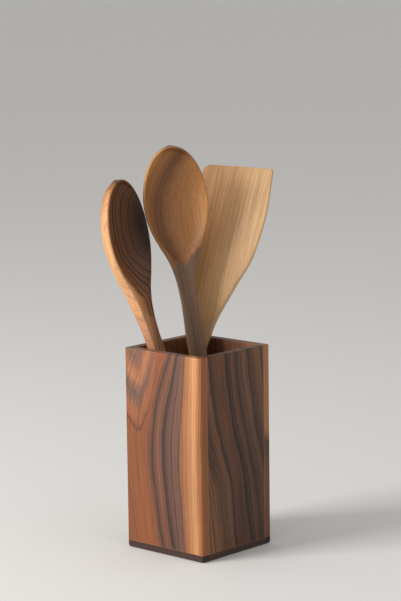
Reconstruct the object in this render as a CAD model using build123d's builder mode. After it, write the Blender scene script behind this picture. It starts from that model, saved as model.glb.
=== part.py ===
from build123d import *
import math
import os

# A square wooden utensil caddy, with two spoons and a turner standing in it.
# Millimetres, +Z up. The origin is the middle of the caddy's underside, and its front faces -Y.

# Caddy: four glued boards, each on a strip of dark wood, round a floor panel
caddy_width = 90.0  # along X
caddy_depth = 90.0  # along Y
caddy_height = 180.0
board_thickness = 8.0
plinth_height = 6.5  # the dark strips under the boards
corner_radius = 1.8  # the four upright arrises
rim_radius = 0.9  # round the mouth
base_chamfer = 1.6  # round the underside
floor_thickness = 8.0
floor_play = 0.2  # lets the floor panel swell inside the boards
lip_width = 4.0  # the floor's lip is held between the strips and the boards
lip_thickness = 3.0

# Spoon handles and bowls are one pattern, made in two lengths
left_spoon_length = 329.0
tall_spoon_length = 349.0
handle_thickness = 9.5
handle_half_width = 8.0
neck_half_width = 7.2
neck_length = 27.0  # bowl to neck, where the bowl's bend begins
grip_length = 30.0  # neck to where the handle is full width
bend_radius = 600.0
bowl_length = 118.0
bowl_half_width = 29.0
bowl_thickness = 17.0  # at its deepest
tip_thickness = 6.5
hollow_rim = 2.4  # flat rim left round the hollow
hollow_depth = 12.0
hollow_end = 12.0  # bowl's lower end to the hollow's
hollow_rise = 1.0  # the hollow's cutter is widest this far in front of the rim
rounding_length = 72.0  # neck to where the back is fully round
outline_trim = 1.5  # the blank is this much fuller than the sawn outline
bowl_sections = 12

# Turner: a flat blade with a slanted end on a straight handle
turner_length = 338.0
blade_half_width = 34.5
blade_end_half_width = 32.5
blade_length = 172.0  # from the end to the neck
blade_slant = 6.5  # degrees off square
blade_end_thickness = 3.0
upper_corner_radius = 3.5
lower_corner_radius = 7.0
turner_neck_half_width = 5.9
turner_handle_half_width = 6.6
turner_thickness = 9.0

seat_gap = 0.5  # between a utensil and what it stands on or leans against
turner_gap = 1.2  # the same for the turner, whose handle widens towards its end
passing_gap = 2.6  # between the tall spoon and the turner, so that either lifts past the other

# Where each utensil stands: its foot on the floor and its crossing of the mouth, both measured
# in from the walls, and the compass bearing that its front faces (0 = -Y, 90 = +X)
left_spoon_foot = (63.0, 35.0)  # from the left and the front wall
left_spoon_crossing = (6.5, 15.4)
left_spoon_bearing = 98.0
tall_spoon_foot = (55.0, 52.0)
tall_spoon_crossing = (22.0, 51.1)
tall_spoon_bearing = 56.0
turner_foot = (9.7, 11.9)
turner_crossing = (16.5, 65.5)
turner_bearing = 22.0

inner_width = caddy_width - 2 * board_thickness
inner_depth = caddy_depth - 2 * board_thickness

# The boards are sawn from one box, so their outer corners and the mouth are eased after gluing
with BuildPart() as box:
    with BuildSketch(Plane.XY.offset(plinth_height)):
        Rectangle(caddy_width, caddy_depth)
    extrude(amount=caddy_height - plinth_height)
    fillet(box.edges().filter_by(Axis.Z), radius=corner_radius)
    with BuildSketch(Plane.XY.offset(plinth_height)):
        Rectangle(inner_width, inner_depth)
    extrude(amount=caddy_height - plinth_height, mode=Mode.SUBTRACT)
    fillet(box.faces().sort_by(Axis.Z)[-1].edges(), radius=rim_radius)

# The plinth's ring is rebated inside for the floor's lip, and bevelled round the underside
with BuildPart() as plinth:
    with BuildSketch(Plane.XY):
        Rectangle(caddy_width, caddy_depth)
    extrude(amount=plinth_height)
    fillet(plinth.edges().filter_by(Axis.Z), radius=corner_radius)
    chamfer(plinth.faces().sort_by(Axis.Z)[0].edges(), length=base_chamfer)
    with BuildSketch(Plane.XY):
        Rectangle(inner_width, inner_depth)
    extrude(amount=plinth_height, mode=Mode.SUBTRACT)
    with BuildSketch(Plane.XY.offset(plinth_height - lip_thickness)):
        Rectangle(inner_width + 2 * lip_width, inner_depth + 2 * lip_width)
    extrude(amount=lip_thickness, mode=Mode.SUBTRACT)

with BuildPart() as floor_panel:
    with BuildSketch(Plane.XY):
        Rectangle(inner_width - 2 * floor_play, inner_depth - 2 * floor_play)
    extrude(amount=floor_thickness)
    with BuildSketch(Plane.XY.offset(plinth_height - lip_thickness)):
        lip_reach = 2 * (lip_width - floor_play)
        Rectangle(inner_width + lip_reach, inner_depth + lip_reach)
    extrude(amount=lip_thickness)


def side_of(ring, side):
    """One side of a ring: front and back run the full width, left and right fit between them."""
    if side in ("front", "back"):
        length, width = caddy_width, board_thickness
        x, y = 0, (caddy_depth - board_thickness) / 2
    else:
        length, width = board_thickness, inner_depth
        x, y = (caddy_width - board_thickness) / 2, 0
    sign = -1 if side in ("front", "left") else 1
    with BuildPart() as piece:
        add(ring.part)
        with BuildSketch(Plane.XY):
            with Locations((sign * x, sign * y)):
                Rectangle(length, width)
        extrude(amount=caddy_height, mode=Mode.INTERSECT)
    return piece.part


def spoon_section(plane, half_width, thickness, roundness):
    """Across a spoon: flat front, upright sides, and a back that goes from squared (0) to round (1)."""
    front = handle_thickness / 2
    back = front - thickness
    half = half_width + outline_trim
    flat = half * (0.68 - 0.48 * roundness)
    shoulder = front - thickness * (0.7 - 0.4 * roundness)
    with BuildSketch(plane) as section:
        with BuildLine():
            Polyline((-half, shoulder), (-half, front), (half, front), (half, shoulder))
            EllipticalCenterArc((flat, shoulder), half - flat, shoulder - back, 0, arc_size=-90)
            Line((flat, back), (-flat, back))
            EllipticalCenterArc((-flat, shoulder), half - flat, shoulder - back, 270, arc_size=-90)
        make_face()
    return section.sketch


def spoon(length):
    """A spoon in its own frame: Z runs from the handle's end to the tip, Y out of the bowl."""
    front = handle_thickness / 2
    neck_from_tip = bowl_length + neck_length
    neck = length - neck_from_tip

    with BuildLine(Plane.YZ) as spine:
        shaft = Line((0, 0), (0, neck))
        JernArc(shaft @ 1, shaft % 1, radius=bend_radius, arc_size=-math.degrees(neck_from_tip / bend_radius))
    path = spine.wires()[0]

    def across(from_tip):
        """The plane across the spoon at a distance from its tip."""
        point = path.position_at(length - from_tip, position_mode=PositionMode.LENGTH)
        along = path.tangent_at(length - from_tip, position_mode=PositionMode.LENGTH)
        return Plane(origin=point, x_dir=(1, 0, 0), z_dir=along)

    # Distance from the tip, half width and thickness, from the neck on
    stations = [
        (neck_from_tip, neck_half_width, handle_thickness),
        (bowl_length, 0.31 * bowl_half_width, 0.74 * bowl_thickness),
        (0.86 * bowl_length, 0.46 * bowl_half_width, 0.82 * bowl_thickness),
        (0.74 * bowl_length, 0.69 * bowl_half_width, 0.9 * bowl_thickness),
        (0.61 * bowl_length, 0.89 * bowl_half_width, 0.97 * bowl_thickness),
        (0.42 * bowl_length, bowl_half_width, bowl_thickness),
        (0.2 * bowl_length, 0.87 * bowl_half_width, 0.88 * bowl_thickness),
        (0.07 * bowl_length, 0.55 * bowl_half_width, 0.7 * bowl_thickness),
        (0, 0.4 * bowl_half_width, tip_thickness),
    ]

    # The blank is lofted through evenly spaced sections, which keeps its surfaces from rippling
    profile = Spline(*stations)
    sections = []
    for step in range(bowl_sections + 1):
        from_tip, half_width, thickness = profile @ (step / bowl_sections)
        roundness = min((neck_from_tip - from_tip) / rounding_length, 1)
        sections.append(spoon_section(across(from_tip), half_width, thickness, roundness))

    # The hollow is lofted through ellipses that close to a point at each end
    widest = front + hollow_rise
    hollows = [Vertex(across(bowl_length - hollow_end).from_local_coords((0, widest, 0)))]
    for from_tip, half_width, _ in stations[3:-1]:
        half = half_width - hollow_rim
        depth = hollow_rise + hollow_depth * (half / (bowl_half_width - hollow_rim)) ** 0.7
        with BuildSketch(across(from_tip)) as hollow:
            with Locations((0, widest)):
                Ellipse(depth, half, rotation=90)
        hollows.append(hollow.sketch)
    hollows.append(Vertex(across(hollow_rim).from_local_coords((0, widest, 0))))

    with BuildPart() as piece:
        add(sections[0].moved(Location((0, 0, -neck))))
        extrude(amount=neck)
        loft(sections)
        with BuildSketch(Plane.XZ):
            with BuildLine():
                outline = [(half, across(from_tip).origin.Z) for from_tip, half, _ in stations[:-1]]
                outline.insert(0, (handle_half_width, neck - grip_length))
                outline.append((0, (path @ 1).Z))
                Line((0, 0), (handle_half_width, 0))
                Line((handle_half_width, 0), outline[0])
                Spline(*outline, tangents=[(0, 1), (-1, 0)], tangent_scalars=[1, 1])
                mirror(about=Plane.YZ)
            make_face()
        extrude(amount=bowl_length, both=True, mode=Mode.INTERSECT)
        loft(hollows, mode=Mode.SUBTRACT)
    return piece.part


def turner_blank():
    """The turner in its own frame: Z runs from the handle's end to the blade, Y out of its face."""
    neck = turner_length - blade_length
    drop = 2 * blade_end_half_width * math.tan(math.radians(blade_slant))
    face = turner_thickness / 2
    flank = [
        (turner_neck_half_width, neck),
        (0.25 * blade_half_width, neck + 0.14 * blade_length),
        (0.55 * blade_half_width, neck + 0.34 * blade_length),
        (0.9 * blade_half_width, neck + 0.55 * blade_length),
        (blade_half_width, neck + 0.77 * blade_length),
        (blade_end_half_width, turner_length),
    ]
    with BuildPart() as piece:
        with BuildSketch(Plane.XZ) as planform:
            with BuildLine():
                Line((0, 0), (turner_handle_half_width, 0))
                Line((turner_handle_half_width, 0), flank[0])
                Spline(*flank)
                Line(flank[-1], (0, turner_length))
                mirror(about=Plane.YZ)
            make_face()
            # The blade's end is cut aslant and both its corners are rounded
            Polygon(
                (-blade_half_width, turner_length + drop / 2),
                (blade_half_width, turner_length + drop / 2),
                (blade_half_width, turner_length - drop),
                (-blade_end_half_width, turner_length),
                align=None,
                mode=Mode.SUBTRACT,
            )
            fillet(planform.vertices().sort_by(Axis.Y)[-1], radius=upper_corner_radius)
            fillet(planform.vertices().sort_by(Axis.X)[-1], radius=lower_corner_radius)
        extrude(amount=turner_thickness, both=True)
        # The face stays flat and the back thins away to the blade's end
        with BuildSketch(Plane.YZ):
            Polygon(
                (face, turner_length),
                (face, 0),
                (-face, 0),
                (-face, neck),
                (face - blade_end_thickness, turner_length),
                align=None,
            )
        extrude(amount=blade_half_width * 1.5, both=True, mode=Mode.INTERSECT)
    return piece.part


def lift_line(foot, crossing):
    """Where a utensil's axis meets the floor, and the direction in which it lifts out."""
    left, front = -inner_width / 2, -inner_depth / 2
    start = Vector(left + foot[0], front + foot[1], floor_thickness)
    finish = Vector(left + crossing[0], front + crossing[1], caddy_height)
    return start, (finish - start).normalized()


def stand_up(piece, foot, crossing, bearing):
    """Stand a utensil on the floor so that it crosses the mouth's plane at the given place."""
    start, along = lift_line(foot, crossing)
    facing = Vector(0, -1, 0).rotate(Axis.Z, bearing)
    pose = Plane(origin=start, x_dir=facing.cross(along), z_dir=along)
    piece = piece.moved(pose.location)
    rise = floor_thickness + seat_gap - piece.bounding_box().min.Z
    return piece.moved(Location(along * (rise / along.Z)))


def lean(piece, support, towards, gap):
    """Move a utensil level towards what it leans against until only the gap is left."""
    for _ in range(8):
        piece = piece.moved(Location(towards * (piece.distance_to(support) - gap)))
    return piece


pieces = {"floor_panel": floor_panel.part}
for side in ("front", "back", "left", "right"):
    pieces[f"{side}_board"] = side_of(box, side)
    pieces[f"{side}_plinth_strip"] = side_of(plinth, side)

left_spoon = stand_up(spoon(left_spoon_length), left_spoon_foot, left_spoon_crossing, left_spoon_bearing)
left_spoon = lean(left_spoon, pieces["left_board"], Vector(-1, 0, 0), seat_gap)
turner = stand_up(turner_blank(), turner_foot, turner_crossing, turner_bearing)
turner = lean(turner, pieces["back_board"], Vector(0, 1, 0), turner_gap)
tall_spoon = stand_up(spoon(tall_spoon_length), tall_spoon_foot, tall_spoon_crossing, tall_spoon_bearing)
backwards = Vector(0, 1, 0).rotate(Axis.Z, tall_spoon_bearing)
tall_spoon = lean(tall_spoon, turner, backwards, passing_gap)
pieces.update(left_spoon=left_spoon, tall_spoon=tall_spoon, turner=turner)

# How each utensil lifts out: along the line from its foot to its crossing of the mouth
for name, foot, crossing in (
    ("left_spoon", left_spoon_foot, left_spoon_crossing),
    ("tall_spoon", tall_spoon_foot, tall_spoon_crossing),
    ("turner", turner_foot, turner_crossing),
):
    along = lift_line(foot, crossing)[1]
    clear = (caddy_height - floor_thickness) / along.Z
    print(f"{name} lifts along {along.X:.4f}, {along.Y:.4f}, {along.Z:.4f}, clear of the mouth after {clear:.1f} mm")

os.makedirs("parts", exist_ok=True)
for name, piece in pieces.items():
    piece.label = name
    export_step(piece, f"parts/{name}.step")
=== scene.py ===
import math

import bpy
import numpy as np
from mathutils import Matrix, Vector


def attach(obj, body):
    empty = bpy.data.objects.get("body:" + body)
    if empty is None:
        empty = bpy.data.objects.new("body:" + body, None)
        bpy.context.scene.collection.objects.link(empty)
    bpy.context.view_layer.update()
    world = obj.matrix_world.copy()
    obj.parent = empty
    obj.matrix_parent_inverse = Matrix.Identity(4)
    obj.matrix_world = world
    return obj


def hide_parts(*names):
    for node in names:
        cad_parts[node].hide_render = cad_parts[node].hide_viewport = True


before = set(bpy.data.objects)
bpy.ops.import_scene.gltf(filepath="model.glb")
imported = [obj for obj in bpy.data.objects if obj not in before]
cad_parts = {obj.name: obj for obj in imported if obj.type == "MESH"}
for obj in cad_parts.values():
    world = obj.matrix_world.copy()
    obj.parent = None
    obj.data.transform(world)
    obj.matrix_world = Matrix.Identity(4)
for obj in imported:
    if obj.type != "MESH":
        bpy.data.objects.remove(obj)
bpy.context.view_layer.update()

# Dresses the wooden utensil caddy, its two spoons and its turner.
# Lengths in the settings are millimetres.
mm = 0.001
print("frame loaded:", len(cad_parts), "solids")


# Small helpers for node trees

def paint(red, green, blue):  # a colour as a screen shows it, 0 to 255
    shown = [value / 255 for value in (red, green, blue)]
    linear = [((part + 0.055) / 1.055) ** 2.4 if part > 0.04 else part / 12.92 for part in shown]
    return (*linear, 1.0)


def addNode(tree, kind, values=None, **settings):
    item = tree.nodes.new(kind)
    for key, value in settings.items():
        setattr(item, key, value)
    for key, value in (values or {}).items():
        if isinstance(value, bpy.types.NodeSocket):
            tree.links.new(value, item.inputs[key])
        else:
            item.inputs[key].default_value = value
    return item


def calc(tree, operation, first, second=0.0, third=0.0):
    values = {0: first, 1: second, 2: third}
    return addNode(tree, "ShaderNodeMath", values, operation=operation).outputs[0]


def stretch(tree, vector, scale):  # squeezes a position along each axis
    return addNode(tree, "ShaderNodeVectorMath", {0: vector, 1: scale}, operation="MULTIPLY").outputs[0]


def noise(tree, vector, detail=2.0, roughness=0.5):
    values = {"Vector": vector, "Scale": 1.0, "Detail": detail, "Roughness": roughness}
    return addNode(tree, "ShaderNodeTexNoise", values).outputs[0]


def smooth(tree, value, low, high, start=0.0, end=1.0):
    values = {"Value": value, "From Min": low, "From Max": high, "To Min": start, "To Max": end}
    return addNode(tree, "ShaderNodeMapRange", values, interpolation_type="SMOOTHSTEP").outputs[0]


def blendColour(tree, amount, first, second, how="MIX"):
    values = {0: amount, 6: first, 7: second}
    return addNode(tree, "ShaderNodeMix", values, data_type="RGBA", blend_type=how).outputs[2]


def traced(tree, value, points):  # follows a curve through (place, offset) points
    places = [point[0] for point in points]
    offsets = [point[1] for point in points]
    lowest, highest = min(offsets), max(offsets) + 0.001  # never a range of nothing
    values = {"Value": value, "From Min": min(places), "From Max": max(places)}
    along = addNode(tree, "ShaderNodeMapRange", values).outputs[0]
    drawn = addNode(tree, "ShaderNodeFloatCurve", {"Value": along})
    line = drawn.mapping.curves[0]
    for index, (place, offset) in enumerate(points):
        spot = (place - min(places)) / (max(places) - min(places)), (offset - lowest) / (highest - lowest)
        if index in (0, len(points) - 1):
            line.points[0 if index == 0 else -1].location = spot
        else:
            line.points.new(*spot)
    drawn.mapping.update()
    return calc(tree, "MULTIPLY_ADD", drawn.outputs[0], highest - lowest, lowest)


def bands(tree, place, stops):  # colour by place across the figure, in millimetres
    low, high = stops[0][0], stops[-1][0]
    factor = calc(tree, "DIVIDE", calc(tree, "SUBTRACT", place, low), high - low)
    ramp = addNode(tree, "ShaderNodeValToRGB", {0: factor})
    ramp.color_ramp.interpolation = "B_SPLINE" if len(stops) > 3 else "LINEAR"
    elements = ramp.color_ramp.elements
    elements[1].position = 1.0
    elements[1].color = stops[-1][1]
    elements[0].color = stops[0][1]
    for spot, colour in stops[1:-1]:
        elements.new((spot - low) / (high - low)).color = colour
    return ramp.outputs[0]


def darkLines(tree, place, lines):  # how dark each named line makes the wood, 0 to 1
    total = 0.0
    for middle, halfWidth, strength in lines:
        away = calc(tree, "ABSOLUTE", calc(tree, "SUBTRACT", place, middle))
        core = 0.15 * halfWidth  # fully dark this far from its middle
        total = calc(tree, "MAXIMUM", total, smooth(tree, away, core, halfWidth, strength, 0.0))
    return total


def poseMatrix(pose):  # from a utensil's own axes to where it stands
    sideways, out, up = (Vector(pose[axis]) for axis in ("sideways", "out", "up"))
    turned = Matrix((sideways, out, up)).transposed().to_4x4()
    return Matrix.Translation(Vector(pose["foot"]) * mm) @ turned


# How many times each feature of the grain fits in a millimetre: across, through and along
grainScale = {
    "slow": (1 / 24, 1 / 24, 1 / 95),
    "quick": (1 / 5, 1 / 5, 1 / 34),
    "eddy": (1 / 17, 1 / 17, 1 / 17),
    "fibre": (0.55, 0.55, 0.016),
    "pores": (0.95, 0.95, 0.085),
}


def swayed(tree, value, size):  # a noise, 0 to 1, as a shift to either side
    return calc(tree, "MULTIPLY", calc(tree, "SUBTRACT", value, 0.5), size)


def woodPlace(tree, position, look):  # millimetres in the piece's own axes, Z along the grain
    pose = look.get("pose")
    values = {
        "Vector": position,
        "Location": Vector(pose["foot"]) * mm if pose else (0, 0, 0),
        "Rotation": poseMatrix(pose).to_euler() if pose else look["turn"],
        "Scale": (mm, mm, mm),
    }
    place = addNode(tree, "ShaderNodeMapping", values, vector_type="TEXTURE").outputs[0]
    return addNode(tree, "ShaderNodeVectorMath", {0: place, 1: look["shift"]}).outputs[0]


def growth(tree, place, look):  # the growth rings wander slowly, and again in small ripples
    across, through, along = addNode(tree, "ShaderNodeSeparateXYZ", {0: place}).outputs
    slow = noise(tree, stretch(tree, place, grainScale["slow"]))
    quick = noise(tree, stretch(tree, place, grainScale["quick"]), 3)
    wander = swayed(tree, slow, look["wander"])
    ripple = swayed(tree, quick, look["ripple"])
    bow = traced(tree, along, look["figure"])
    if "bowFade" in look:
        bow = calc(tree, "MULTIPLY", bow, smooth(tree, across, *look["bowFade"]))
    rings = calc(tree, "SUBTRACT", across, bow)
    deep = calc(tree, "SUBTRACT", through, look["faceAt"])
    rings = calc(tree, "MULTIPLY_ADD", deep, look["ringTilt"], rings)
    rings = calc(tree, "ADD", rings, calc(tree, "ADD", wander, ripple))
    grown = {"place": place, "across": across, "along": along, "rings": rings}
    grown.update(slow=slow, quick=quick, wander=wander, ripple=ripple)
    return grown


# Another figure beyond an edge across the grain: a crotch, or where heartwood starts
def crossEdge(tree, crotch, grown, colour, dark):
    edge = traced(tree, grown["across"], crotch["edge"])
    ragged = swayed(tree, grown["quick"], crotch["ragged"])
    edge = calc(tree, "ADD", edge, calc(tree, "ADD", ragged, grown["wander"]))
    beyond = calc(tree, "SUBTRACT", grown["along"], edge)
    if crotch["below"]:
        beyond = calc(tree, "MULTIPLY", beyond, -1.0)
    inside = smooth(tree, beyond, -crotch["softness"], crotch["softness"])
    if "fade" in crotch:
        across = calc(tree, "ADD", grown["across"], grown["ripple"])
        inside = calc(tree, "MULTIPLY", inside, smooth(tree, across, *crotch["fade"]))
    spot = grown["rings"] if crotch["byRings"] else beyond
    if "swirl" in crotch:
        eddy = noise(tree, stretch(tree, grown["place"], grainScale["eddy"]))
        eddy = swayed(tree, eddy, crotch["swirl"])
        spot = calc(tree, "MULTIPLY_ADD", eddy, smooth(tree, beyond, *crotch["swirlFrom"]), spot)
    colour = blendColour(tree, inside, colour, bands(tree, spot, crotch["bands"]))
    inner = darkLines(tree, spot, crotch["lines"])
    return colour, addNode(tree, "ShaderNodeMix", {0: inside, 2: dark, 3: inner}).outputs[0]


def fineContours(tree, grown, look):  # fine growth lines, which come and go
    values = {
        "W": calc(tree, "DIVIDE", grown["rings"], look["lineSpacing"]),
        "Scale": 1.0,
        "Detail": 3.0,
        "Roughness": 0.6,
    }
    fine = addNode(tree, "ShaderNodeTexNoise", values, noise_dimensions="1D").outputs[0]
    away = calc(tree, "ABSOLUTE", calc(tree, "SUBTRACT", fine, 0.5))
    contour = smooth(tree, away, 0.0, look["lineWidth"], 1.0, 0.0)
    patches = smooth(tree, grown["slow"], *look["linePatches"])
    return calc(tree, "MULTIPLY", calc(tree, "MULTIPLY", contour, patches), look["fineLines"])


def openPores(tree, grown, look):
    values = {"Vector": stretch(tree, grown["place"], grainScale["pores"]), "Scale": 1.0}
    pores = addNode(tree, "ShaderNodeTexVoronoi", values).outputs[0]
    pores = smooth(tree, pores, *look["poreSize"], 1.0, 0.0)
    return calc(tree, "MULTIPLY", pores, smooth(tree, grown["quick"], *look["porePatches"]))


# One finish for every piece of wood, from that piece's own settings
def woodFinish(name, look):
    material = bpy.data.materials.new(name)
    material.use_nodes = True
    tree = material.node_tree
    tree.nodes.clear()
    where = addNode(tree, "ShaderNodeTexCoord")
    grown = growth(tree, woodPlace(tree, where.outputs["Object"], look), look)
    colour = bands(tree, grown["rings"], look["bands"])
    dark = darkLines(tree, grown["rings"], look["lines"])
    if "crotch" in look:
        colour, dark = crossEdge(tree, look["crotch"], grown, colour, dark)
    dark = calc(tree, "MAXIMUM", dark, fineContours(tree, grown, look))
    colour = blendColour(tree, dark, colour, look["lineColour"])

    # Fibres and open pores run along the grain
    fibre = noise(tree, stretch(tree, grown["place"], grainScale["fibre"]), *look["fibreDetail"])
    pores = openPores(tree, grown, look)
    shade = calc(tree, "MULTIPLY_ADD", calc(tree, "SUBTRACT", fibre, 0.5), look["fibre"], 1.0)
    shade = calc(tree, "SUBTRACT", shade, calc(tree, "MULTIPLY", pores, look["pores"]))
    # The curve along the grain is flat by default; on the front and right boards it is painted light,
    # paler towards the top
    shade = calc(tree, "MULTIPLY", shade, traced(tree, grown["along"], look["tone"]))

    # Sawn ends drink more oil and turn darker
    grain = look["pose"]["up"] if "pose" in look else look["grain"]
    values = {0: where.outputs["Normal"], 1: grain}
    facing = addNode(tree, "ShaderNodeVectorMath", values, operation="DOT_PRODUCT").outputs[1]
    sawnEnd = smooth(tree, calc(tree, "ABSOLUTE", facing), *look["endFrom"])
    shade = calc(tree, "MULTIPLY", shade, calc(tree, "MULTIPLY_ADD", sawnEnd, -look["endShade"], 1.0))
    tone = addNode(tree, "ShaderNodeCombineXYZ", {0: shade, 1: shade, 2: shade}).outputs[0]
    colour = blendColour(tree, 1.0, colour, tone, "MULTIPLY")

    # Arrises are painted paler: partly real wear, partly a painted highlight where they catch the light
    rounded = addNode(tree, "ShaderNodeBevel", {"Radius": look["wornEdge"] * mm}, samples=6).outputs[0]
    flat = addNode(tree, "ShaderNodeNewGeometry").outputs["Normal"]
    values = {0: rounded, 1: flat}
    alike = addNode(tree, "ShaderNodeVectorMath", values, operation="DOT_PRODUCT").outputs[1]
    worn = smooth(tree, alike, *look["wornFrom"], look["worn"], 0.0)
    colour = blendColour(tree, worn, colour, look["wornColour"])

    smoothest, roughest = (look["roughness"] + change for change in look["roughnessChange"])
    height = calc(tree, "SUBTRACT", calc(tree, "MULTIPLY", fibre, 0.5), pores)
    values = {"Strength": look["relief"], "Distance": look["reliefDepth"] * mm, "Height": height}
    bump = addNode(tree, "ShaderNodeBump", values).outputs[0]
    values = {
        "Base Color": colour,
        "Roughness": smooth(tree, fibre, *look["roughnessFrom"], smoothest, roughest),
        "Normal": bump,
        "IOR": look["refraction"],
        "Specular IOR Level": look["sheen"],
    }
    shader = addNode(tree, "ShaderNodeBsdfPrincipled", values)
    addNode(tree, "ShaderNodeOutputMaterial", {0: shader.outputs[0]})
    return material


# What the pieces share unless their own settings say otherwise
def oiledWood(**changes):
    look = {
        "turn": (0, 0, 0),  # turns the settings' axes on to a board or a strip
        "shift": (0, 0, 0),
        "grain": (0, 0, 1),
        "figure": [(0, 0), (90, 0), (180, 0)],  # how far the rings bow, along the grain
        "faceAt": 0.0,  # where the figure is drawn, through the wood
        "ringTilt": 0.4,
        "wander": 9.0,
        "ripple": 1.6,
        "lineColour": paint(58, 37, 26),
        "lineSpacing": 5.5,
        "lineWidth": 0.07,
        "linePatches": (0.3, 0.7, 0.35, 1.0),
        "fineLines": 0.4,
        "fibre": 0.75,
        "fibreDetail": (6, 0.72),
        "pores": 0.3,
        "poreSize": (0.1, 0.24),
        "porePatches": (0.42, 0.62),
        "tone": [(0, 1.0), (400, 1.0)],  # darker or paler along the grain
        "endShade": 0.32,
        "endFrom": (0.62, 0.9),
        # Paler arrises: partly wear, partly a painted highlight
        "worn": 0.35,
        "wornEdge": 1.3,
        "wornFrom": (0.8, 0.99),
        "wornColour": paint(206, 150, 104),
        "roughness": 0.46,
        "roughnessChange": (-0.07, 0.09),  # from dense fibre to open
        "roughnessFrom": (0.25, 0.75),
        "relief": 0.35,
        "reliefDepth": 0.12,
        "refraction": 1.47,
        "sheen": 0.42,
    }
    look.update(changes)
    return look


# The caddy's boards and the plinth strips under them

frontBoard = oiledWood(
    faceAt=-45,
    ringTilt=1.1,
    figure=[(0, 14), (45, 5), (90, 0), (120, 3), (150, 12), (180, 25)],
    bowFade=(4, 36, 1.0, 0.12),
    wander=5.0,
    ripple=2.4,
    lineSpacing=4.5,
    fineLines=0.42,
    # Painted highlight: the board turns paler towards its top, standing in for light falling on it
    tone=[(0, 0.95), (60, 0.94), (130, 1.04), (180, 1.16)],
    bands=[
        (-75, paint(134, 78, 44)),
        (-40, paint(148, 86, 48)),
        (-28, paint(160, 92, 52)),
        (-20, paint(142, 84, 52)),
        (-14.5, paint(84, 58, 50)),
        (-10, paint(120, 78, 60)),
        (-6, paint(154, 96, 64)),
        (-2, paint(92, 66, 58)),
        (1.5, paint(66, 48, 44)),
        (5, paint(128, 86, 68)),
        (8, paint(92, 68, 62)),
        (12, paint(134, 90, 70)),
        (16, paint(104, 76, 66)),
        (20, paint(140, 90, 60)),
        (25, paint(184, 118, 74)),
        (31, paint(196, 132, 84)),
        (36, paint(222, 160, 108)),
        (40, paint(184, 116, 66)),
        (46, paint(150, 90, 48)),
        (60, paint(142, 84, 46)),
    ],
    lines=[
        (-33, 0.6, 0.2),
        (-23, 0.8, 0.3),
        (-14, 1.7, 0.7),
        (-10, 0.5, 0.35),
        (-5.5, 0.8, 0.5),
        (-1, 2.2, 0.8),
        (1.8, 0.6, 0.6),
        (9, 1.6, 0.5),
        (13.5, 0.6, 0.4),
        (18.5, 0.8, 0.75),
        (25.5, 0.5, 0.35),
        (32.5, 0.4, 0.25),
    ],
    crotch={
        "edge": [
            (-45, 120),
            (-38, 112),
            (-31, 107),
            (-27, 108),
            (-22, 118),
            (-16, 130),
            (-11, 148),
            (-4, 178),
            (45, 260),
        ],
        "fade": (8, -26),
        "below": False,
        "byRings": False,
        "ragged": 10.0,
        "softness": 2.6,
        "swirl": 15.0,
        "swirlFrom": (2, 16),
        "bands": [
            (0, paint(104, 66, 52)),
            (4, paint(152, 88, 55)),
            (12, paint(176, 106, 66)),
            (20, paint(144, 96, 70)),
            (30, paint(116, 86, 74)),
            (38, paint(134, 94, 74)),
            (46, paint(186, 118, 76)),
            (54, paint(164, 106, 72)),
            (62, paint(122, 90, 76)),
            (74, paint(136, 96, 74)),
            (95, paint(156, 100, 66)),
        ],
        "lines": [(0.5, 1.5, 0.85), (24, 1.2, 0.16), (31, 4.5, 0.16), (50, 1.0, 0.14), (66, 5.0, 0.16)],
    },
)

rightBoard = oiledWood(
    faceAt=-45,
    turn=(0, 0, math.pi / 2),
    figure=[(0, 19), (30, 15), (62, 11), (97, 1), (120, -5), (180, -14)],
    wander=9.0,
    ripple=2.6,
    fineLines=0.85,
    lineSpacing=5.2,
    # Painted light: darker low down and paler towards the top, standing in for how light falls on this
    # side
    tone=[(0, 0.9), (70, 0.84), (130, 1.05), (180, 1.25)],
    bands=[
        (-60, paint(140, 92, 58)),
        (-40, paint(136, 88, 54)),
        (-31, paint(96, 64, 42)),
        (-24, paint(134, 86, 54)),
        (-17, paint(82, 54, 38)),
        (-10, paint(134, 80, 48)),
        (-4, paint(96, 58, 38)),
        (3, paint(64, 42, 33)),
        (10, paint(120, 74, 46)),
        (17, paint(76, 50, 37)),
        (25, paint(122, 82, 54)),
        (32, paint(70, 47, 36)),
        (42, paint(124, 82, 54)),
        (60, paint(96, 64, 44)),
    ],
    lines=[
        (-46, 0.6, 0.5),
        (-34, 1.0, 0.7),
        (-29, 0.5, 0.5),
        (-18.5, 2.2, 0.85),
        (-12, 0.6, 0.6),
        (-8.5, 0.7, 0.7),
        (1, 3.4, 0.85),
        (6, 0.8, 0.7),
        (14, 2.0, 0.75),
        (17.5, 0.6, 0.7),
        (29, 2.6, 0.75),
        (34, 0.7, 0.7),
        (47, 1.2, 0.6),
    ],
    lineColour=paint(34, 23, 18),
)

backBoard = oiledWood(
    faceAt=45,
    figure=[(0, -6), (90, 4), (180, -3)],
    shift=(0, 0, 30),
    fineLines=0.55,
    bands=[
        (-60, paint(112, 70, 44)),
        (-25, paint(130, 82, 52)),
        (0, paint(104, 66, 44)),
        (22, paint(132, 84, 54)),
        (38, paint(164, 112, 74)),
        (60, paint(170, 120, 82)),
    ],
    lines=[(-30, 1.0, 0.5), (-12, 1.4, 0.6), (4, 0.9, 0.5), (17, 1.2, 0.6), (30, 0.8, 0.4)],
    crotch={
        "edge": [(-45, 148), (20, 142), (38, 136), (45, 128)],
        "below": True,
        "byRings": False,
        "ragged": 26.0,
        "softness": 9.0,
        "bands": [
            (0, paint(104, 68, 46)),
            (9, paint(84, 54, 38)),
            (24, paint(124, 80, 52)),
            (60, paint(112, 72, 48)),
            (140, paint(104, 66, 44)),
        ],
        "lines": [(6, 3.0, 0.4), (30, 1.2, 0.2)],
    },
)

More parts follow.
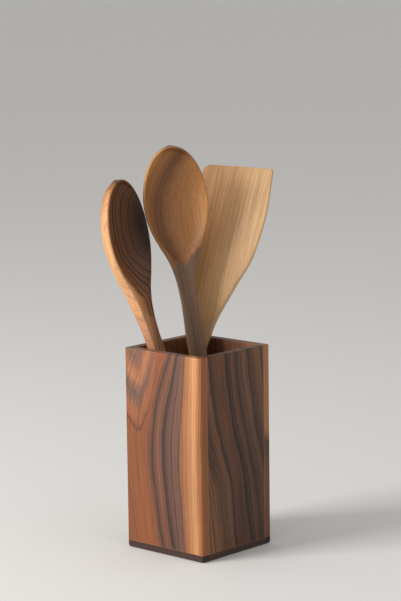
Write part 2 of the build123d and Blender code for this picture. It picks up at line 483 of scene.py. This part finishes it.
leftBoard = oiledWood(
    faceAt=45,
    turn=(0, 0, math.pi / 2),
    figure=[(0, -10), (60, -2), (120, 6), (180, 2)],
    shift=(12, 0, 60),
    fineLines=0.55,
    bands=[
        (-60, paint(112, 70, 44)),
        (-20, paint(136, 82, 50)),
        (0, paint(104, 66, 44)),
        (18, paint(142, 90, 56)),
        (60, paint(120, 76, 50)),
    ],
    lines=[(-26, 1.2, 0.5), (-8, 1.6, 0.65), (6, 0.8, 0.5), (20, 1.3, 0.55), (34, 0.8, 0.4)],
)

floorPanel = oiledWood(
    turn=(0, -math.pi / 2, 0),
    grain=(1, 0, 0),
    figure=[(-45, 0), (0, 3), (45, 0)],
    ringTilt=1.0,
    bands=[(-60, paint(120, 78, 52)), (0, paint(136, 88, 58)), (60, paint(116, 76, 52))],
    lines=[(-20, 1.0, 0.5), (4, 1.4, 0.6), (22, 0.8, 0.4)],
)


def plinthWood(turn, grain):  # near-black strips with their grain lying down
    return oiledWood(
        turn=turn,
        grain=grain,
        figure=[(-45, 0), (0, 0.8), (45, 0)],
        ringTilt=0.9,
        wander=3.0,
        ripple=0.7,
        lineSpacing=2.2,
        fineLines=0.6,
        bands=[
            (-50, paint(70, 46, 36)),
            (0, paint(84, 58, 45)),
            (7, paint(76, 51, 39)),
            (50, paint(70, 46, 36)),
        ],
        lines=[(2.2, 0.5, 0.6), (4.4, 0.4, 0.5)],
        lineColour=paint(30, 20, 16),
        endShade=0.62,
        worn=0.3,
        wornEdge=0.9,
        wornColour=paint(138, 96, 70),
        roughness=0.5,
    )


boardFinishes = {
    "front_board": frontBoard,
    "right_board": rightBoard,
    "back_board": backBoard,
    "left_board": leftBoard,
    "floor_panel": floorPanel,
    "front_plinth_strip": plinthWood((0, -math.pi / 2, 0), (1, 0, 0)),
    "back_plinth_strip": plinthWood((0, -math.pi / 2, 0), (1, 0, 0)),
    "left_plinth_strip": plinthWood((-math.pi / 2, 0, 0), (0, 1, 0)),
    "right_plinth_strip": plinthWood((-math.pi / 2, 0, 0), (0, 1, 0)),
}
for nodeName, look in boardFinishes.items():
    finish = woodFinish(nodeName + "_wood", look)
    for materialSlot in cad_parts[nodeName].material_slots:
        materialSlot.material = finish
print("caddy finished")


# The carved utensils are skins over rings of points, with Z from the handle's end and Y out of the face
def skin(node, rings, look):
    name = "carved_" + node
    count = len(rings[0])
    points = [point for ring in rings for point in ring]
    faces = [tuple(reversed(range(count))), tuple(range(len(points) - count, len(points)))]
    for row in range(len(rings) - 1):
        for column in range(count):
            beside = (column + 1) % count
            here = row * count
            faces.append((here + column, here + beside, here + count + beside, here + count + column))
    mesh = bpy.data.meshes.new(name)
    mesh.from_pydata([tuple(value * mm for value in point) for point in points], [], faces)
    mesh.transform(poseMatrix(look["pose"]))
    mesh.validate()
    for polygon in mesh.polygons:
        polygon.use_smooth = len(polygon.vertices) == 4  # the two ends stay flat
    mesh.materials.append(woodFinish(node + "_wood", look))
    piece = bpy.data.objects.new(name, mesh)
    bpy.context.scene.collection.objects.link(piece)
    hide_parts(node)
    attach(piece, node)
    print(name, "built:", len(mesh.vertices), "points")


def easedCurve(value, points):  # a smooth curve through (place, size) points, without overshoot
    places = np.array([point[0] for point in points], float)
    sizes = np.array([point[1] for point in points], float)
    slopes = np.diff(sizes) / np.diff(places)
    tangents = np.zeros(len(points))
    for index in range(1, len(points) - 1):
        before, after = slopes[index - 1], slopes[index]
        tangents[index] = 0.0 if before * after <= 0 else 2 * before * after / (before + after)
    index = int(np.clip(np.searchsorted(places, value) - 1, 0, len(places) - 2))
    step = places[index + 1] - places[index]
    share = min(max((value - places[index]) / step, 0.0), 1.0)
    rise = sizes[index] * (1 + 2 * share) * (1 - share) ** 2
    rise += sizes[index + 1] * share**2 * (3 - 2 * share)
    lean = tangents[index] * share * (1 - share) ** 2 - tangents[index + 1] * share**2 * (1 - share)
    return float(rise + lean * step)


spoonShape = {
    "face": 4.75,  # the handle's front, in front of its middle
    "bend": 600.0,  # radius of the bow from the neck to the tip
    "neckFromTip": 145.0,
    "tipLength": 50.0,  # tip to the bowl's widest place
    "bowlHalfWidth": 29.0,
    "halfWidths": [  # by distance from the tip
        (50, 29),
        (60, 28.4),
        (72, 25.8),
        (87.3, 20),
        (101.5, 13.4),
        (118, 9),
        (131, 7.6),
        (145, 7.2),
        (175, 8),
        (360, 8),
    ],
    "thicknesses": [
        (0, 6.6),
        (8.3, 11.6),
        (23.6, 15),
        (49.6, 17),
        (72, 16.6),
        (87.3, 15.4),
        (101.5, 13.9),
        (118, 12.3),
        (145, 9.5),
        (360, 9.5),
    ],
    "squareness": (4.4, 2.5),  # of the handle's back, and of the bowl's
    "roundingLength": 72.0,  # from the neck on
    "rim": 1.7,  # width of the rim left round the hollow
    "hollowDepth": 12.0,
    "hollowStart": 106.0,  # from the tip
    "hollowFade": 26.0,
    "hollowTaper": 0.95,
    "hollowCurve": 0.7,
    "arris": 1.1,
    "arrisShare": 0.35,  # of half the width, at most
    "flatShare": 0.55,  # where there is no hollow, its points lie this far across
    "endRows": [(0.0, 0.82), (0.5, 0.93), (1.4, 1.0)],  # how full the handle's worn end is
    "handleRows": 26,
    "bowlRows": 78,
    "bowlSpread": (0.015, 0.99, 0.85),  # first row, last row and how they crowd
    "tipRows": (1.7, 1.1, 0.75, 0.45, 0.22, 0.08),
    "pointsRound": {"arris": 5, "hollow": 33, "back": 35},
}


def spoonStations(length, shape):  # where each ring of points stands, and how full it is
    neck = length - shape["neckFromTip"]
    first, last, crowding = shape["bowlSpread"]
    shares = np.linspace(first, last, shape["bowlRows"]) ** crowding
    handle = [(place, 1.0) for place in np.linspace(6, neck, shape["handleRows"])]
    bowl = [(neck + shape["neckFromTip"] * share, 1.0) for share in shares]
    tip = [(length - fromTip, 1.0) for fromTip in shape["tipRows"]]
    return sorted(shape["endRows"] + handle + bowl + tip)


def bowlHollow(fromTip, half, shape):  # half the hollow's width, and its depth
    widest = shape["bowlHalfWidth"] - shape["rim"]
    hollowHalf = 0.0
    if fromTip < shape["tipLength"]:
        back = (shape["tipLength"] - fromTip) / (shape["tipLength"] - shape["rim"])
        hollowHalf = widest * math.sqrt(max(1 - back * back, 0.0))
    elif fromTip < shape["hollowStart"]:
        fade = min((shape["hollowStart"] - fromTip) / shape["hollowFade"], 1.0)
        hollowHalf = (half - shape["rim"]) * math.sqrt(fade * (2 - fade))
    return hollowHalf, shape["hollowDepth"] * (hollowHalf / widest) ** shape["hollowTaper"]


def spoonSection(fromTip, fullness, shape):  # one ring, still flat, going round from the right arris
    face = shape["face"]
    if fromTip < shape["tipLength"]:
        back = (shape["tipLength"] - fromTip) / shape["tipLength"]
        half = shape["bowlHalfWidth"] * math.sqrt(max(1 - back * back, 0.0))
    else:
        half = easedCurve(fromTip, shape["halfWidths"])
    half *= fullness
    thickness = easedCurve(fromTip, shape["thicknesses"]) * (0.5 + 0.5 * fullness)
    roundness = min(max((shape["neckFromTip"] - fromTip) / shape["roundingLength"], 0.0), 1.0)
    handleSquareness, bowlSquareness = shape["squareness"]
    power = 2 / (handleSquareness + (bowlSquareness - handleSquareness) * roundness)
    arris = min(shape["arris"], shape["arrisShare"] * half)
    side = half - arris
    hollowHalf, depth = bowlHollow(fromTip, half, shape)
    spread = max(hollowHalf, shape["flatShare"] * side)
    counts = shape["pointsRound"]
    flat = []
    for angle in np.linspace(0, math.pi / 2, counts["arris"])[:-1]:
        flat.append((side + arris * math.cos(angle), face - arris + arris * math.sin(angle)))
    flat += [(side, face), ((side + spread) / 2, face)]
    for angle in np.linspace(0, math.pi, counts["hollow"]):
        x = spread * math.cos(angle)
        inside = 1 - (x / hollowHalf) ** 2 if hollowHalf > 0 else 0.0
        flat.append((x, face - depth * max(inside, 0.0) ** shape["hollowCurve"]))
    flat += [(-(side + spread) / 2, face), (-side, face)]
    for angle in np.linspace(math.pi / 2, math.pi, counts["arris"])[1:]:
        flat.append((arris * math.cos(angle) - side, face - arris + arris * math.sin(angle)))
    for angle in np.linspace(math.pi, 2 * math.pi, counts["back"])[1:-1]:
        x = half * math.copysign(abs(math.cos(angle)) ** power, math.cos(angle))
        flat.append((x, face - arris - (thickness - arris) * abs(math.sin(angle)) ** power))
    return flat


def spoonRings(length, shape):
    neck = length - shape["neckFromTip"]
    rings = []
    for place, fullness in spoonStations(length, shape):
        # Each section stands square to the spoon's bowed spine
        bow = max(place - neck, 0.0) / shape["bend"]
        forward = shape["bend"] * (1 - math.cos(bow))
        height = min(place, neck) + shape["bend"] * math.sin(bow)
        flat = spoonSection(length - place, fullness, shape)
        rings.append([(x, forward + y * math.cos(bow), height - y * math.sin(bow)) for x, y in flat])
    return rings


tallSpoonPose = {
    "length": 349.0,
    "foot": (18.518, 14.384, 9.979),
    "sideways": (-0.55574, -0.82392, -0.11094),
    "out": (0.80972, -0.56668, 0.15239),
    "up": (-0.18842, -0.00514, 0.98207),
}
leftSpoonPose = {
    "length": 329.0,
    "foot": (24.654, -2.278, 10.442),
    "sideways": (0.13886, -0.98804, -0.06698),
    "out": (0.94045, 0.11038, 0.32151),
    "up": (-0.31027, -0.10763, 0.94454),
}
turnerPose = {
    "foot": (-27.195, -23.506, 10.664),
    "sideways": (-0.91646, -0.37028, 0.15162),
    "out": (0.39833, -0.88006, 0.2585),
    "up": (0.03772, 0.2973, 0.95404),
}

tallSpoonWood = oiledWood(
    pose=tallSpoonPose,
    figure=[(0, 2), (180, 3), (230, 6), (262, 13), (285, 18), (301, 16), (317, 10), (332, 0), (352, -16)],
    wander=4.0,
    ripple=3.0,
    ringTilt=0.12,
    lineSpacing=6.0,
    fineLines=0.22,
    fibre=1.0,
    pores=0.4,
    bands=[
        (-52, paint(214, 158, 98)),
        (-38, paint(182, 124, 70)),
        (-26, paint(158, 106, 60)),
        (-16, paint(168, 114, 66)),
        (-8, paint(146, 96, 54)),
        (-2, paint(110, 72, 43)),
        (4, paint(132, 86, 48)),
        (9, paint(168, 112, 62)),
        (13, paint(146, 98, 56)),
        (19, paint(196, 136, 78)),
        (44, paint(230, 176, 114)),
    ],
    lines=[(-9.5, 0.8, 0.3), (-4, 1.4, 0.4), (0.5, 1.0, 0.45), (5.5, 0.7, 0.3), (14, 0.6, 0.2)],
    lineColour=paint(92, 60, 40),
    worn=0.3,
    wornColour=paint(232, 186, 130),
    crotch={
        "edge": [(-30, 262), (-10, 253), (-4, 248), (0, 243), (4, 246), (8, 240), (12, 241), (30, 256)],
        "below": True,
        "byRings": True,
        "ragged": 9.0,
        "softness": 0.9,
        "bands": [
            (-16, paint(118, 89, 66)),
            (-8, paint(130, 99, 74)),
            (-2, paint(92, 70, 54)),
            (3, paint(120, 91, 68)),
            (16, paint(142, 108, 80)),
        ],
        "lines": [(-7.5, 0.5, 0.6), (-5, 0.5, 0.6), (-1.2, 0.9, 0.8), (1.4, 0.4, 0.5), (3.6, 0.5, 0.6)],
    },
)

leftSpoonWood = oiledWood(
    pose=leftSpoonPose,
    figure=[
        (0, -9),
        (170, -11),
        (205, -17),
        (229, -15),
        (250, -8),
        (278, 0),
        (300, 0),
        (318, -5),
        (332, -13),
    ],
    wander=2.4,
    ripple=1.1,
    ringTilt=0.1,
    lineSpacing=3.6,
    fineLines=0.3,
    fibre=0.9,
    bands=[
        # Painted shadow: the near-black bands at this end darken the bowl's far side, next to the tall
        # spoon, where shade falls
        (-44, paint(44, 29, 22)),
        (-26, paint(52, 34, 26)),
        (-17, paint(92, 60, 42)),
        (-8, paint(112, 74, 52)),
        (2, paint(118, 78, 54)),
        (10, paint(132, 86, 56)),
        (16, paint(150, 98, 58)),
        (20, paint(176, 116, 66)),
        (25, paint(218, 154, 98)),
        (32, paint(236, 182, 130)),
        (48, paint(230, 170, 112)),
    ],
    lines=[
        (-24, 1.4, 0.6),
        (-14, 0.9, 0.6),
        (-6, 1.0, 0.8),
        (0.5, 0.9, 0.85),
        (5.5, 1.3, 0.9),
        (10.5, 0.9, 0.85),
        (15.5, 1.2, 0.8),
    ],
    lineColour=paint(44, 27, 19),
    worn=0.3,
    wornColour=paint(240, 196, 140),
    crotch={
        "edge": [(-12, 207), (-4, 204), (3, 209), (12, 205)],
        "below": True,
        "byRings": True,
        "ragged": 8.0,
        "softness": 2.5,
        "bands": [
            (-4, paint(132, 88, 58)),
            (3, paint(158, 106, 68)),
            (10, paint(150, 100, 66)),
            (16, paint(178, 118, 78)),
            (22, paint(206, 146, 108)),
            (36, paint(212, 150, 112)),
        ],
        "lines": [(4, 0.6, 0.75), (8, 0.5, 0.7), (12.5, 0.7, 0.75), (17, 0.4, 0.5)],
    },
)

turnerWood = oiledWood(
    pose=turnerPose,
    figure=[(0, 0), (180, 0), (260, 1.5), (340, -2)],
    wander=6.0,
    ripple=1.4,
    ringTilt=0.3,
    lineSpacing=4.2,
    fineLines=0.3,
    fibre=1.1,
    pores=0.5,
    # Painted shade: the blade darkens towards its side behind the tall spoon, standing in for that
    # spoon's shadow
    bands=[
        (-40, paint(222, 180, 132)),
        (-22, paint(218, 174, 126)),
        (-6, paint(206, 160, 112)),
        (8, paint(196, 148, 100)),
        (20, paint(180, 132, 86)),
        (40, paint(166, 118, 74)),
    ],
    lines=[(-20, 0.6, 0.2), (-9, 0.8, 0.22), (3, 0.7, 0.25), (14, 0.9, 0.28)],
    lineColour=paint(134, 92, 56),
    worn=0.3,
    wornColour=paint(236, 204, 160),
)

for node, look in (("tall_spoon", tallSpoonWood), ("left_spoon", leftSpoonWood)):
    skin(node, spoonRings(look["pose"]["length"], spoonShape), look)


turnerShape = {
    "length": 338.0,
    "neck": 166.0,
    "halfWidths": [  # by distance from the handle's end
        (0, 6.6),
        (166, 5.9),
        (190, 8.6),
        (224.5, 19),
        (260.6, 31),
        (298.4, 34.5),
        (338, 32.5),
    ],
    "face": 4.5,
    "thickness": 9.0,
    "endThickness": 3.0,
    "slant": 6.5,  # degrees
    "slantFrom": 230.0,  # rows of points start to lean here
    "slantOver": 60.0,
    "corners": (3.5, 7.0),  # the upper corner's radius and the lower one's
    "handleArris": 2.4,
    "bladeArris": 0.9,
    "arrisShare": 0.45,  # of the thickness, at most
    "wornLength": 1.5,  # the handle's end is narrower and thinner over this
    "wornNarrower": 0.8,
    "wornThinner": 1.6,
    "edgeThinner": 1.1,  # over the blade's last millimetre
    "startRows": (0.0, 0.6, 1.5),
    "handleRows": (6, 160, 22),  # first, last and how many
    "bladeRows": (164, 329.5, 58),
    "endRows": (7.0, 5.8, 4.6, 3.5, 2.6, 1.8, 1.1, 0.6, 0.25, 0.0),  # from the blade's end
    "pointsRound": {"arris": 6, "wide": 18, "narrow": 4},
}


def turnerStations(shape):
    rows = [*shape["startRows"], *np.linspace(*shape["handleRows"]), *np.linspace(*shape["bladeRows"])]
    return rows + [shape["length"] - toEnd for toEnd in shape["endRows"]]


def cornerInset(toEnd, radius):  # how far a rounded corner pulls the blade's side in
    return radius - math.sqrt(max(radius**2 - (radius - toEnd) ** 2, 0.0)) if toEnd < radius else 0.0


def turnerSection(place, shape):  # one ring, still flat, going round from the right front arris
    share = min(max((place - shape["neck"]) / (shape["length"] - shape["neck"]), 0.0), 1.0)
    thickness = shape["thickness"] + (shape["endThickness"] - shape["thickness"]) * share
    middle = shape["face"] - thickness / 2
    half = easedCurve(place, shape["halfWidths"])
    if place < shape["wornLength"]:
        half -= shape["wornNarrower"] * (1 - place / shape["wornLength"])
        thickness -= shape["wornThinner"] * (1 - place / shape["wornLength"])
    toEnd = shape["length"] - place
    upper, lower = (half - cornerInset(toEnd, radius) for radius in shape["corners"])
    arris = shape["handleArris"] + (shape["bladeArris"] - shape["handleArris"]) * min(3 * share, 1.0)
    if toEnd < 1.0:
        thickness -= shape["edgeThinner"] * (1 - toEnd)
    arris = min(arris, shape["arrisShare"] * thickness)
    top, bottom = middle + thickness / 2 - arris, middle - thickness / 2 + arris
    right, left = lower - arris, arris - upper
    corners = ((right, top), (left, top), (left, bottom), (right, bottom))
    counts = shape["pointsRound"]
    flat = []
    for index, (x, y) in enumerate(corners):
        start = 90 * index
        for angle in np.linspace(start, start + 90, counts["arris"]):
            turn = math.radians(angle)
            flat.append((x + arris * math.cos(turn), y + arris * math.sin(turn)))
        besideX = x + arris * math.cos(math.radians(start + 90))
        besideY = y + arris * math.sin(math.radians(start + 90))
        nextX, nextY = corners[(index + 1) % 4]
        count = counts["narrow"] if index % 2 else counts["wide"]
        for step in np.linspace(0, 1, count)[1:-1]:
            flat.append((besideX + (nextX - x) * step, besideY + (nextY - y) * step))
    return flat


def turnerRings(shape):
    endHalf = shape["halfWidths"][-1][1]
    drop = 2 * endHalf * math.tan(math.radians(shape["slant"]))
    rings = []
    for place in turnerStations(shape):
        # Rows near the blade's end lie along its slant
        lean = min(max((place - shape["slantFrom"]) / shape["slantOver"], 0.0), 1.0)
        lean = lean * lean * (3 - 2 * lean)
        flat = turnerSection(place, shape)
        rings.append([(x, y, place - lean * drop * (x + endHalf) / (2 * endHalf)) for x, y in flat])
    return rings


skin("turner", turnerRings(turnerShape), turnerWood)


# Floor, light and camera
studio = {
    "floorSide": 30.0,  # metres from its middle to its edge
    "floorColour": paint(238, 236, 232),
    "floorRoughness": 0.9,
    "floorSheen": 0.2,
    "floorGrain": (900, 900, 900),  # per metre
    "floorRelief": 0.05,
    "skyColour": paint(222, 222, 224),
    "ambient": 0.5,
    "key": {"at": (-0.75, -1.75, 1.15), "size": 0.9, "power": 34.0},
    "fill": {"at": (1.9, -0.2, 1.0), "size": 1.6, "power": 2.0},
    "lampAim": (0.0, 0.0, 0.17),
}


def makeFloor():
    side = studio["floorSide"]
    mesh = bpy.data.meshes.new("studio_floor")
    corners = [(-side, -side, 0), (side, -side, 0), (side, side, 0), (-side, side, 0)]
    mesh.from_pydata(corners, [], [(0, 1, 2, 3)])
    material = bpy.data.materials.new("studio_floor_paper")
    material.use_nodes = True
    tree = material.node_tree
    spot = addNode(tree, "ShaderNodeTexCoord").outputs["Object"]
    grain = noise(tree, stretch(tree, spot, studio["floorGrain"]), 3)
    values = {"Strength": studio["floorRelief"], "Distance": 0.1 * mm, "Height": grain}
    shader = tree.nodes["Principled BSDF"]
    shader.inputs["Base Color"].default_value = studio["floorColour"]
    shader.inputs["Roughness"].default_value = studio["floorRoughness"]
    shader.inputs["Specular IOR Level"].default_value = studio["floorSheen"]
    tree.links.new(addNode(tree, "ShaderNodeBump", values).outputs[0], shader.inputs["Normal"])
    mesh.materials.append(material)
    floor = bpy.data.objects.new("studio_floor", mesh)
    bpy.context.scene.collection.objects.link(floor)


def addLamp(name, lamp):
    light = bpy.data.lights.new(name, "AREA")
    light.size = lamp["size"]
    light.energy = lamp["power"]
    holder = bpy.data.objects.new(name, light)
    holder.location = lamp["at"]
    aim = Vector(studio["lampAim"]) - Vector(lamp["at"])
    holder.rotation_euler = aim.to_track_quat("-Z", "Y").to_euler()
    bpy.context.scene.collection.objects.link(holder)


def makeSky():
    world = bpy.data.worlds.new("studio_sky")
    bpy.context.scene.world = world
    world.use_nodes = True
    tree = world.node_tree
    tree.nodes.clear()
    rays = addNode(tree, "ShaderNodeLightPath")
    seen = calc(tree, "MAXIMUM", rays.outputs["Is Camera Ray"], rays.outputs["Is Transmission Ray"])
    lighting = addNode(tree, "ShaderNodeBackground", {0: (1, 1, 1, 1), 1: studio["ambient"]})
    backdrop = addNode(tree, "ShaderNodeBackground", {0: studio["skyColour"], 1: 1.0})
    values = {0: seen, 1: lighting.outputs[0], 2: backdrop.outputs[0]}
    shown = addNode(tree, "ShaderNodeMixShader", values)
    addNode(tree, "ShaderNodeOutputWorld", {0: shown.outputs[0]})


cameraSetup = {
    "at": (1388.05, -1511.76, 559.69),
    "heading": -0.741,
    "tilt": -0.164,
    "roll": -0.013,
    "lens": 142.4,
    "sensor": 36.0,
}


def addCamera():
    camera = bpy.data.cameras.new("photo_camera")
    camera.lens = cameraSetup["lens"]
    camera.sensor_width = cameraSetup["sensor"]
    camera.clip_end = 100.0  # metres
    heading, tilt, roll = (cameraSetup[key] for key in ("heading", "tilt", "roll"))
    level = Vector((math.sin(heading), math.cos(heading), 0))
    ahead = level * math.cos(tilt) + Vector((0, 0, math.sin(tilt)))
    right = Vector((math.cos(heading), -math.sin(heading), 0))
    above = right.cross(ahead)
    sideways = right * math.cos(roll) + above * math.sin(roll)
    upwards = above * math.cos(roll) - right * math.sin(roll)
    holder = bpy.data.objects.new("photo_camera", camera)
    turned = Matrix((sideways, upwards, -ahead)).transposed().to_4x4()
    holder.matrix_world = Matrix.Translation(Vector(cameraSetup["at"]) * mm) @ turned
    bpy.context.scene.collection.objects.link(holder)
    bpy.context.scene.camera = holder


makeFloor()
makeSky()
addLamp("key_light", studio["key"])
addLamp("fill_light", studio["fill"])
addCamera()
bpy.context.scene.view_settings.view_transform = "Standard"
print("studio ready")
